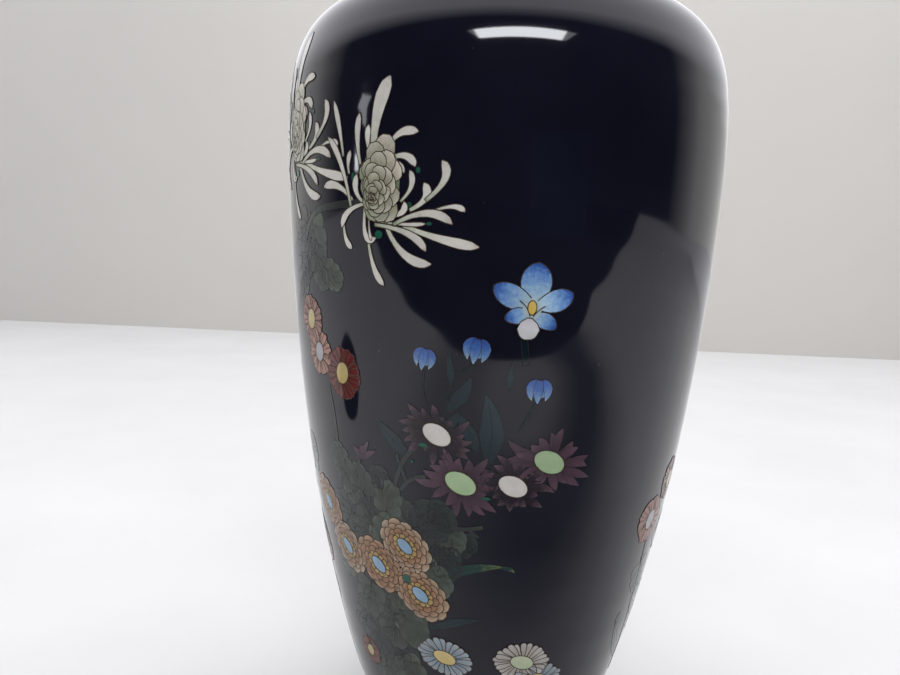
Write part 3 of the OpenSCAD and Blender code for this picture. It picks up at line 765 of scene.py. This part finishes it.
def enamel(name, *runs, cloud=0.25, speck=0.2):
    """Colour runs from the root of each cell to its tip; the cell's accent (0, 1, ...) chooses the run.

    The cell attribute holds the way along the cell, the way across it, a random number and the accent.
    """
    material, tree, shader, place = new_material(name, POLISHED)
    note = add_node(tree, "Attribute", attribute_name="cell")
    parts = add_node(tree, "SeparateColor", {"Color": note.outputs["Color"]})
    grain = math_node(tree, "SUBTRACT", noise(tree, place, GRAIN, 4, 0.6), 0.5)
    along = math_node(tree, "ADD", parts.outputs["Red"], math_node(tree, "MULTIPLY", grain, 0.5))
    colour = ramp(tree, along, runs[0])
    for i, run in enumerate(runs[1:]):
        share = range_node(tree, note.outputs["Alpha"], i, i + 1)
        colour = mix_colour(tree, share, colour, ramp(tree, along, run))
    patches = math_node(tree, "MULTIPLY", noise(tree, place, PATCHES), cloud * 2)
    tone = math_node(tree, "ADD", patches, math_node(tree, "MULTIPLY", parts.outputs["Blue"], cloud))
    light = range_node(tree, tone, 0, cloud * 3, 1 - cloud, 1 + cloud)
    light = add_node(tree, "CombineColor", {"Red": light, "Green": light, "Blue": light})
    colour = mix_colour(tree, 1.0, colour, light.outputs["Color"], "MULTIPLY")
    dots = range_node(tree, noise(tree, place, DOTS, 2, 0.7), 0.62, 0.72, 0.0, speck)
    colour = mix_colour(tree, dots, colour, (0.02, 0.02, 0.02))
    tree.links.new(colour, shader.inputs["Base Color"])
    polish_marks(tree, shader, place)
    return material


def ground_material():
    """Midnight-blue enamel with a few pale pinholes, where polishing opened bubbles."""
    material, tree, shader, place = new_material("ground_enamel", POLISHED)
    cloud = noise(tree, place, 60, 4)
    colour = ramp(tree, cloud, {0.3: (0.003, 0.003, 0.009), 0.7: (0.006, 0.006, 0.014)})
    holes = range_node(tree, voronoi(tree, place, OPENED_BUBBLES), 0.03, 0.06, 0.8, 0.0)
    chosen = range_node(tree, noise(tree, place, 150, 1), 0.55, 0.6)
    colour = mix_colour(tree, math_node(tree, "MULTIPLY", holes, chosen), colour, (0.1, 0.095, 0.09))
    tree.links.new(colour, shader.inputs["Base Color"])
    polish_marks(tree, shader, place)
    return material


def counter_material():
    """Counter-enamel, fired but not polished: a glossy ripple in mottled blue."""
    material, tree, shader, place = new_material("counter_enamel", {"Roughness": 0.14})
    mottle = noise(tree, place, 260, 5, 0.6)
    stops = {0.35: (0.09, 0.15, 0.27), 0.6: (0.18, 0.27, 0.42), 0.75: (0.26, 0.34, 0.46)}
    tree.links.new(ramp(tree, mottle, stops), shader.inputs["Base Color"])
    add_bump(tree, shader, noise(tree, place, 320, 2), 0.4, 0.0002)
    return material


def metal(name, dark, bright, roughness, scale, scratch):
    """Worn metal: patches between two tones, with roughness that follows them and fine scratches."""
    material, tree, shader, place = new_material(name, {"Metallic": 1.0})
    wear = noise(tree, place, scale, 5, 0.65)
    tree.links.new(ramp(tree, wear, {0.3: dark, 0.65: bright}), shader.inputs["Base Color"])
    gloss = range_node(tree, wear, 0.3, 0.7, roughness * 1.6, roughness * 0.7)
    tree.links.new(gloss, shader.inputs["Roughness"])
    stretched = add_node(tree, "Mapping", {"Vector": place, "Scale": (1, 1, 12)}).outputs["Vector"]
    add_bump(tree, shader, noise(tree, stretched, scale * 3), scratch, 0.00005)
    return material


GROUND = ground_material()
COUNTER = counter_material()
SILVER_METAL = metal("rim_silver", (0.58, 0.55, 0.5), (0.78, 0.76, 0.72), 0.2, 300, 0.2)
COPPER_METAL = metal("body_copper", (0.42, 0.2, 0.12), (0.72, 0.42, 0.27), 0.4, 200, 0.5)
# The cloison wires are tarnished silver, but their colour is also painted much darker than tarnish alone, as
# painted shade: it keeps them dark where the metal would mirror the pale cloth
SHADED_WIRE_METAL = metal("wire_silver_painted_dark", (0.05, 0.034, 0.024), (0.12, 0.085, 0.06), 0.45, 900, 0.2)
DARK_WIRE_METAL = metal("blackened_wire", (0.03, 0.03, 0.03), (0.07, 0.07, 0.065), 0.5, 900, 0.2)

# Colour runs of every kind of cell, by the CAD node that it replaces
ENAMELS = {
    "chrysanthemum_petals": enamel(
        "cream_petal",
        {0: (0.15, 0.24, 0.13), 0.15: (0.38, 0.41, 0.32), 0.45: (0.55, 0.54, 0.48),
         0.75: (0.57, 0.55, 0.51), 1: (0.4, 0.35, 0.31)}),
    "chrysanthemum_hearts": enamel(
        "curled_petal",
        {0: (0.07, 0.1, 0.05), 0.5: (0.15, 0.19, 0.11), 1: (0.34, 0.36, 0.27)},
        {0: (0.16, 0.14, 0.09), 0.5: (0.37, 0.34, 0.27), 1: (0.62, 0.57, 0.5)}),
    "chrysanthemum_leaves": enamel(
        "leaf_green",
        {0: (0.003, 0.007, 0.008), 0.6: (0.01, 0.016, 0.016), 1: (0.022, 0.03, 0.027)},
        {0: (0.022, 0.032, 0.025), 0.6: (0.042, 0.056, 0.042), 1: (0.07, 0.088, 0.07)},
        {0: (0.008, 0.06, 0.035), 1: (0.012, 0.09, 0.06)}, cloud=0.45),
    "blade_leaves": enamel(
        "blade_teal",
        {0: (0.005, 0.014, 0.019), 1: (0.009, 0.024, 0.033)},
        {0: (0.006, 0.02, 0.022), 0.55: (0.01, 0.035, 0.032), 0.9: (0.12, 0.16, 0.06)}),
    "flower_stems": enamel(
        "stem_green",
        {0: (0.03, 0.034, 0.031), 1: (0.02, 0.025, 0.025)},
        {0: (0.0024, 0.0088, 0.013), 1: (0.0024, 0.0072, 0.011)}),
    "bellflower_petals": enamel(
        "bell_blue",
        {0: (0.4, 0.45, 0.4), 0.3: (0.3, 0.44, 0.56), 0.55: (0.14, 0.27, 0.52),
         0.78: (0.035, 0.1, 0.34), 1: (0.015, 0.04, 0.2)},
        {0: (0.34, 0.42, 0.42), 1: (0.36, 0.46, 0.52)}, cloud=0.35, speck=0.3),
    "bellflower_stamens": enamel("stamen_yellow", {0: (0.55, 0.36, 0.07), 1: (0.6, 0.45, 0.14)}),
    "bellflower_calyxes": enamel(
        "calyx_ivory", {0: (0.5, 0.48, 0.48), 0.5: (0.55, 0.55, 0.58), 1: (0.47, 0.44, 0.46)}),
    "bellflower_buds": enamel(
        "bud_blue",
        {0: (0.022, 0.056, 0.24), 0.45: (0.045, 0.11, 0.32), 0.75: (0.12, 0.22, 0.39),
         1: (0.38, 0.43, 0.42)}, speck=0.3),
    "red_daisy_petals": enamel(
        "daisy_red",
        {0: (0.075, 0.012, 0.012), 1: (0.13, 0.022, 0.022)},
        {0: (0.28, 0.13, 0.09), 1: (0.38, 0.2, 0.16)}),
    "red_daisy_centres": enamel(
        "heart_cream",
        {0: (0.45, 0.33, 0.1), 1: (0.45, 0.38, 0.2)},
        {0: (0.29, 0.29, 0.3), 1: (0.34, 0.32, 0.31)}),
    "aster_petals": enamel(
        "aster_mauve",
        {0: (0.027, 0.012, 0.02), 0.5: (0.055, 0.028, 0.043), 1: (0.094, 0.053, 0.074)},
        {0: (0.0078, 0.0055, 0.0098), 0.5: (0.016, 0.0094, 0.015), 1: (0.11, 0.066, 0.082)},
        cloud=0.5),
    "aster_centres": enamel(
        "heart_green",
        {0: (0.27, 0.39, 0.21), 1: (0.32, 0.42, 0.26)},
        {0: (0.53, 0.5, 0.46), 1: (0.56, 0.55, 0.52)}),
    "pompon_petals": enamel(
        "pompon_cream",
        {0: (0.15, 0.1, 0.06), 0.6: (0.3, 0.23, 0.16), 1: (0.5, 0.43, 0.33)},
        {0: (0.12, 0.06, 0.03), 0.7: (0.28, 0.15, 0.08), 1: (0.38, 0.24, 0.15)},
        {0: (0.3, 0.2, 0.05), 1: (0.42, 0.31, 0.11)}),
    "pompon_centres": enamel("heart_blue", {0: (0.18, 0.29, 0.42), 1: (0.22, 0.34, 0.45)}),
    "blue_daisy_petals": enamel("daisy_blue", {0: (0.14, 0.19, 0.24), 1: (0.31, 0.35, 0.37)}),
    "white_daisy_petals": enamel("daisy_white", {0: (0.28, 0.25, 0.21), 1: (0.43, 0.41, 0.39)}),
    "field_daisy_centres": enamel(
        "heart_yellow",
        {0: (0.5, 0.38, 0.15), 1: (0.52, 0.42, 0.2)},
        {0: (0.36, 0.42, 0.28), 1: (0.44, 0.48, 0.34)}),
}


# ---------- The vessel ----------

wall_section = np.concatenate([WALL, offset(ENAMEL)[::-1]])
turned("ground_enamel_skin", wall_section, GROUND, ["ground_enamel"])

draw_green()
draw_flowers()
slot_of = {part["node"]: part["material_slot"] for part in frame["record"]["subparts"]}
for family, collected in cells.items():
    collected.build(family + "_enamel", ENAMELS[family], slot_of[family], [family])
for name, collected in wires.items():
    finish = DARK_WIRE_METAL if name in ("wires_of_leaves", "wires_of_asters") else SHADED_WIRE_METAL
    collected.build(name, finish, "wire", ["centre_wires"] if name == "wires_of_daisies" else [])

# The copper, the rims, the lining and the base stay the CAD's own meshes, with a better finish
CAD_FINISH = {"copper": COPPER_METAL, "silver": SILVER_METAL, "counter": COUNTER}
for node, slot_name in slot_of.items():
    if slot_name in CAD_FINISH:
        for slot in frame["nodes"][node].material_slots:
            slot.material = CAD_FINISH[slot_name]


# ---------- Stage, light and camera ----------

def flat_material(name, colour, scale, contrast):
    """Matt surface of the room, with a faint unevenness."""
    material, tree, shader, place = new_material(name, {"Roughness": 0.9, "Specular IOR Level": 0.0})
    tone = noise(tree, place, scale)
    dark = tuple(c * (1 - contrast) for c in colour)
    tree.links.new(ramp(tree, tone, {0.3: dark, 0.7: colour}), shader.inputs["Base Color"])
    return material


def shade_material(name, centre, radii):
    """Soft shade on the cloth before the vase: a dark oval band with a clear middle, weaker on the left."""
    settings = {"Base Color": (0.03, 0.03, 0.035, 1), "Specular IOR Level": 0.0}
    material, tree, shader, place = new_material(name, settings)
    reach = vector_node(tree, "DIVIDE", vector_node(tree, "SUBTRACT", place, centre), radii)
    half = math_node(tree, "MULTIPLY", vector_node(tree, "LENGTH", reach, output="Value"), 0.5)
    depths = {0: 0.1, 0.22: 0.2, 0.33: 0.6, 0.45: 0.84, 0.56: 0.84, 0.64: 0.65, 0.7: 0.4, 0.8: 0.15, 0.9: 0}
    depth = ramp(tree, half, {position: (opacity,) * 3 for position, opacity in depths.items()})
    sides = add_node(tree, "SeparateXYZ", {0: place})
    weaker = range_node(tree, sides.outputs["X"], -0.06, 0.03, 0.55, 1.0)
    depth = math_node(tree, "MULTIPLY", depth, weaker)
    clear = add_node(tree, "BsdfTransparent")
    blend = add_node(tree, "MixShader", {0: depth, 1: clear.outputs[0], 2: shader.outputs[0]})
    tree.links.new(blend.outputs[0], tree.nodes["Material Output"].inputs["Surface"])
    return material


def glow_material(name, colour, strength):
    """Surface that gives light of its own."""
    material, tree, shader, _ = new_material(name)
    tree.nodes.remove(shader)
    glow = add_node(tree, "Emission", {"Color": (*colour, 1), "Strength": strength})
    tree.links.new(glow.outputs[0], tree.nodes["Material Output"].inputs["Surface"])
    return material


# Kinds of rays that pass through what only reflections show
MIRRORED = {"camera": False, "diffuse": False, "shadow": False}


def panel(name, corners, material, **seen_by):
    """Flat stage panel through its corners, in metres; seen_by switches off kinds of rays."""
    mesh = bpy.data.meshes.new(name)
    mesh.from_pydata(corners, [], [list(range(len(corners)))])
    mesh.materials.append(material)
    made = add_object(name, mesh)
    for kind, seen in seen_by.items():
        setattr(made, "visible_" + kind, seen)


def card(name, azimuth, elevation, distance, width, height, colour, strength, shape):
    """Lit panel, seen only mirrored, that faces the vase's axis from a direction."""
    a, e = math.radians(azimuth), math.radians(elevation)
    out = Vector((math.sin(a) * math.cos(e), -math.cos(a) * math.cos(e), math.sin(e)))
    right = out.cross(Vector((0, 0, 1))).normalized()
    up = right.cross(out)
    centre = Vector((0, 0, CARD_AIM)) + out * distance
    corners = [centre + right * x * width / 2 + up * y * height / 2 for x, y in shape]
    panel(name, corners, glow_material(name + "_light", colour, strength), **MIRRORED)


def lamp(name, place, target, size, power):
    """Soft square light; it is not seen in reflections."""
    light = bpy.data.lights.new(name, "AREA")
    light.size = size
    light.energy = power
    made = add_object(name, light)
    made.location = place
    made.rotation_euler = (Vector(target) - Vector(place)).to_track_quat("-Z", "Y").to_euler()
    made.visible_glossy = False


# Metres: how far the wall is behind, half the floor, the gap between sheets that lie on the cloth, and
# the height on the vase's axis that the cards face
WALL_BEHIND = 0.71
FLOOR = 3.0
SHEET_GAP = 0.001
CARD_AIM = 0.11

# Colours of the daylight, and outlines of the panes that it comes through, as seen from the vase
WINDOW_LIGHT = (0.94, 0.97, 1)
SIDE_LIGHT = (0.9, 0.95, 1)
SCREEN_LIGHT = (0.4, 0.8, 1)
SQUARE = ((-1, -1), (1, -1), (1, 1), (-1, 1))
TAPERED = ((-0.9, -1), (0.9, -1), (1, 1), (-1, 1))
LOPSIDED = ((-0.8, -1), (0.74, -1), (0.92, 1), (-1, 1))
SLANTED = ((-0.3, -1), (1, -0.4), (0.46, 1), (-1, 0.87))


def build_room():
    """Cloth, wall, and the dark shapes and lit panes that only the enamel mirrors."""
    cloth = flat_material("pale_cloth", (0.69, 0.69, 0.692), 14, 0.05)
    paint = flat_material("pale_paint", (0.79, 0.77, 0.73), 5, 0.03)
    dark = flat_material("unlit_room", (0.03, 0.03, 0.033), 2, 0.1)
    shade = shade_material("shade", (0.06, -0.24, 0), (0.15, 0.135, 1))

    panel("floor", [(FLOOR * x, FLOOR * y, 0) for x, y in SQUARE], cloth)
    panel("back_wall", [(x, WALL_BEHIND, z) for x, z in ((-1.2, 0), (1.6, 0), (1.6, 1.2), (-1.2, 1.2))],
          paint, glossy=False)
    far_edge = [(-FLOOR, -FLOOR), (FLOOR, -FLOOR), (FLOOR, -1.0)]
    near_edge = [(0.4, -0.37), (0.24, -0.28), (-0.1, -0.3), (-0.45, -0.35), (-FLOOR, -0.9)]
    panel("unlit_floor", [(x, y, 2 * SHEET_GAP) for x, y in far_edge + near_edge], dark, **MIRRORED)
    shade_edge = [(-0.25, -0.5), (0.4, -0.5), (0.4, 0.02), (-0.25, 0.02)]
    panel("shade", [(x, y, SHEET_GAP) for x, y in shade_edge], shade, **MIRRORED)
    turns = np.linspace(0, 2 * math.pi, 24, endpoint=False)
    lid = [(-0.305 + 0.1 * math.sin(t), -0.035 + 0.036 * math.cos(t), 3 * SHEET_GAP) for t in turns]
    panel("dark_lid", lid, dark, **MIRRORED)

    card("window", 6, 36.4, 1.2, 0.84, 0.15, WINDOW_LIGHT, 18, TAPERED)
    card("window_frame", 6, 36.4, 1.22, 1.06, 0.15, WINDOW_LIGHT, 2.4, LOPSIDED)
    card("side_window", -71.5, 12, 1.2, 0.16, 0.13, SIDE_LIGHT, 3.8, SLANTED)
    card("side_pane", -75.5, 3.5, 1.2, 0.045, 0.06, SIDE_LIGHT, 13, SQUARE)
    card("far_screen", 27, 1, 1.2, 0.6, 0.27, SCREEN_LIGHT, 0.07, SQUARE)
    lamp("front_lamp", (0.1, -0.97, 0.82), (0, 0, 0.1), 0.8, 5.4)
    lamp("top_lamp", (0.1, 0.5, 1.2), (0.1, 0.75, 0.1), 1, 9)


def build_world():
    """Light from all round: dark in front, pale behind, bright overhead; the camera sees plain paint."""
    world = bpy.data.worlds.new("studio")
    bpy.context.scene.world = world
    world.use_nodes = True
    sky = world.node_tree
    direction = add_node(sky, "TexCoord").outputs["Generated"]
    behind = vector_node(sky, "DOT_PRODUCT", direction, (0, 1, 0), "Value")
    walls = range_node(sky, behind, 0.0, 0.35)
    room = mix_colour(sky, walls, (0.04, 0.04, 0.045), (0.85, 0.85, 0.83))
    height = vector_node(sky, "DOT_PRODUCT", direction, (0, 0.4, 1), "Value")
    ceiling = range_node(sky, height, 0.46, 0.63)
    room = mix_colour(sky, ceiling, room, (1.5, 1.5, 1.58))
    seen = add_node(sky, "LightPath").outputs["Is Camera Ray"]
    colour = mix_colour(sky, seen, room, (0.62, 0.61, 0.58))
    sky.links.new(colour, sky.nodes["Background"].inputs["Color"])


def place_camera(place, yaw, pitch, roll, lens):
    """Camera that looks along +Y, turned by a yaw to the right, a pitch down and a roll, in degrees."""
    camera = add_object("camera", bpy.data.cameras.new("camera"))
    camera.data.sensor_width = 36
    camera.data.lens = lens
    camera.data.clip_start = 0.01
    yaw, pitch, roll = math.radians(yaw), math.radians(pitch), math.radians(roll)
    forward = Vector((math.sin(yaw) * math.cos(pitch), math.cos(yaw) * math.cos(pitch), -math.sin(pitch)))
    level = forward.cross(Vector((0, 0, 1))).normalized()
    upright = level.cross(forward)
    right = math.cos(roll) * level + math.sin(roll) * upright
    up = math.cos(roll) * upright - math.sin(roll) * level
    camera.matrix_world = Matrix.Translation(place) @ Matrix((right, up, -forward)).transposed().to_4x4()
    bpy.context.scene.camera = camera


build_room()
build_world()
place_camera(place=(0, -0.16604, 0.11084), yaw=-3.46, pitch=7, roll=2.13, lens=30.16)
bpy.context.scene.view_settings.view_transform = "Standard"
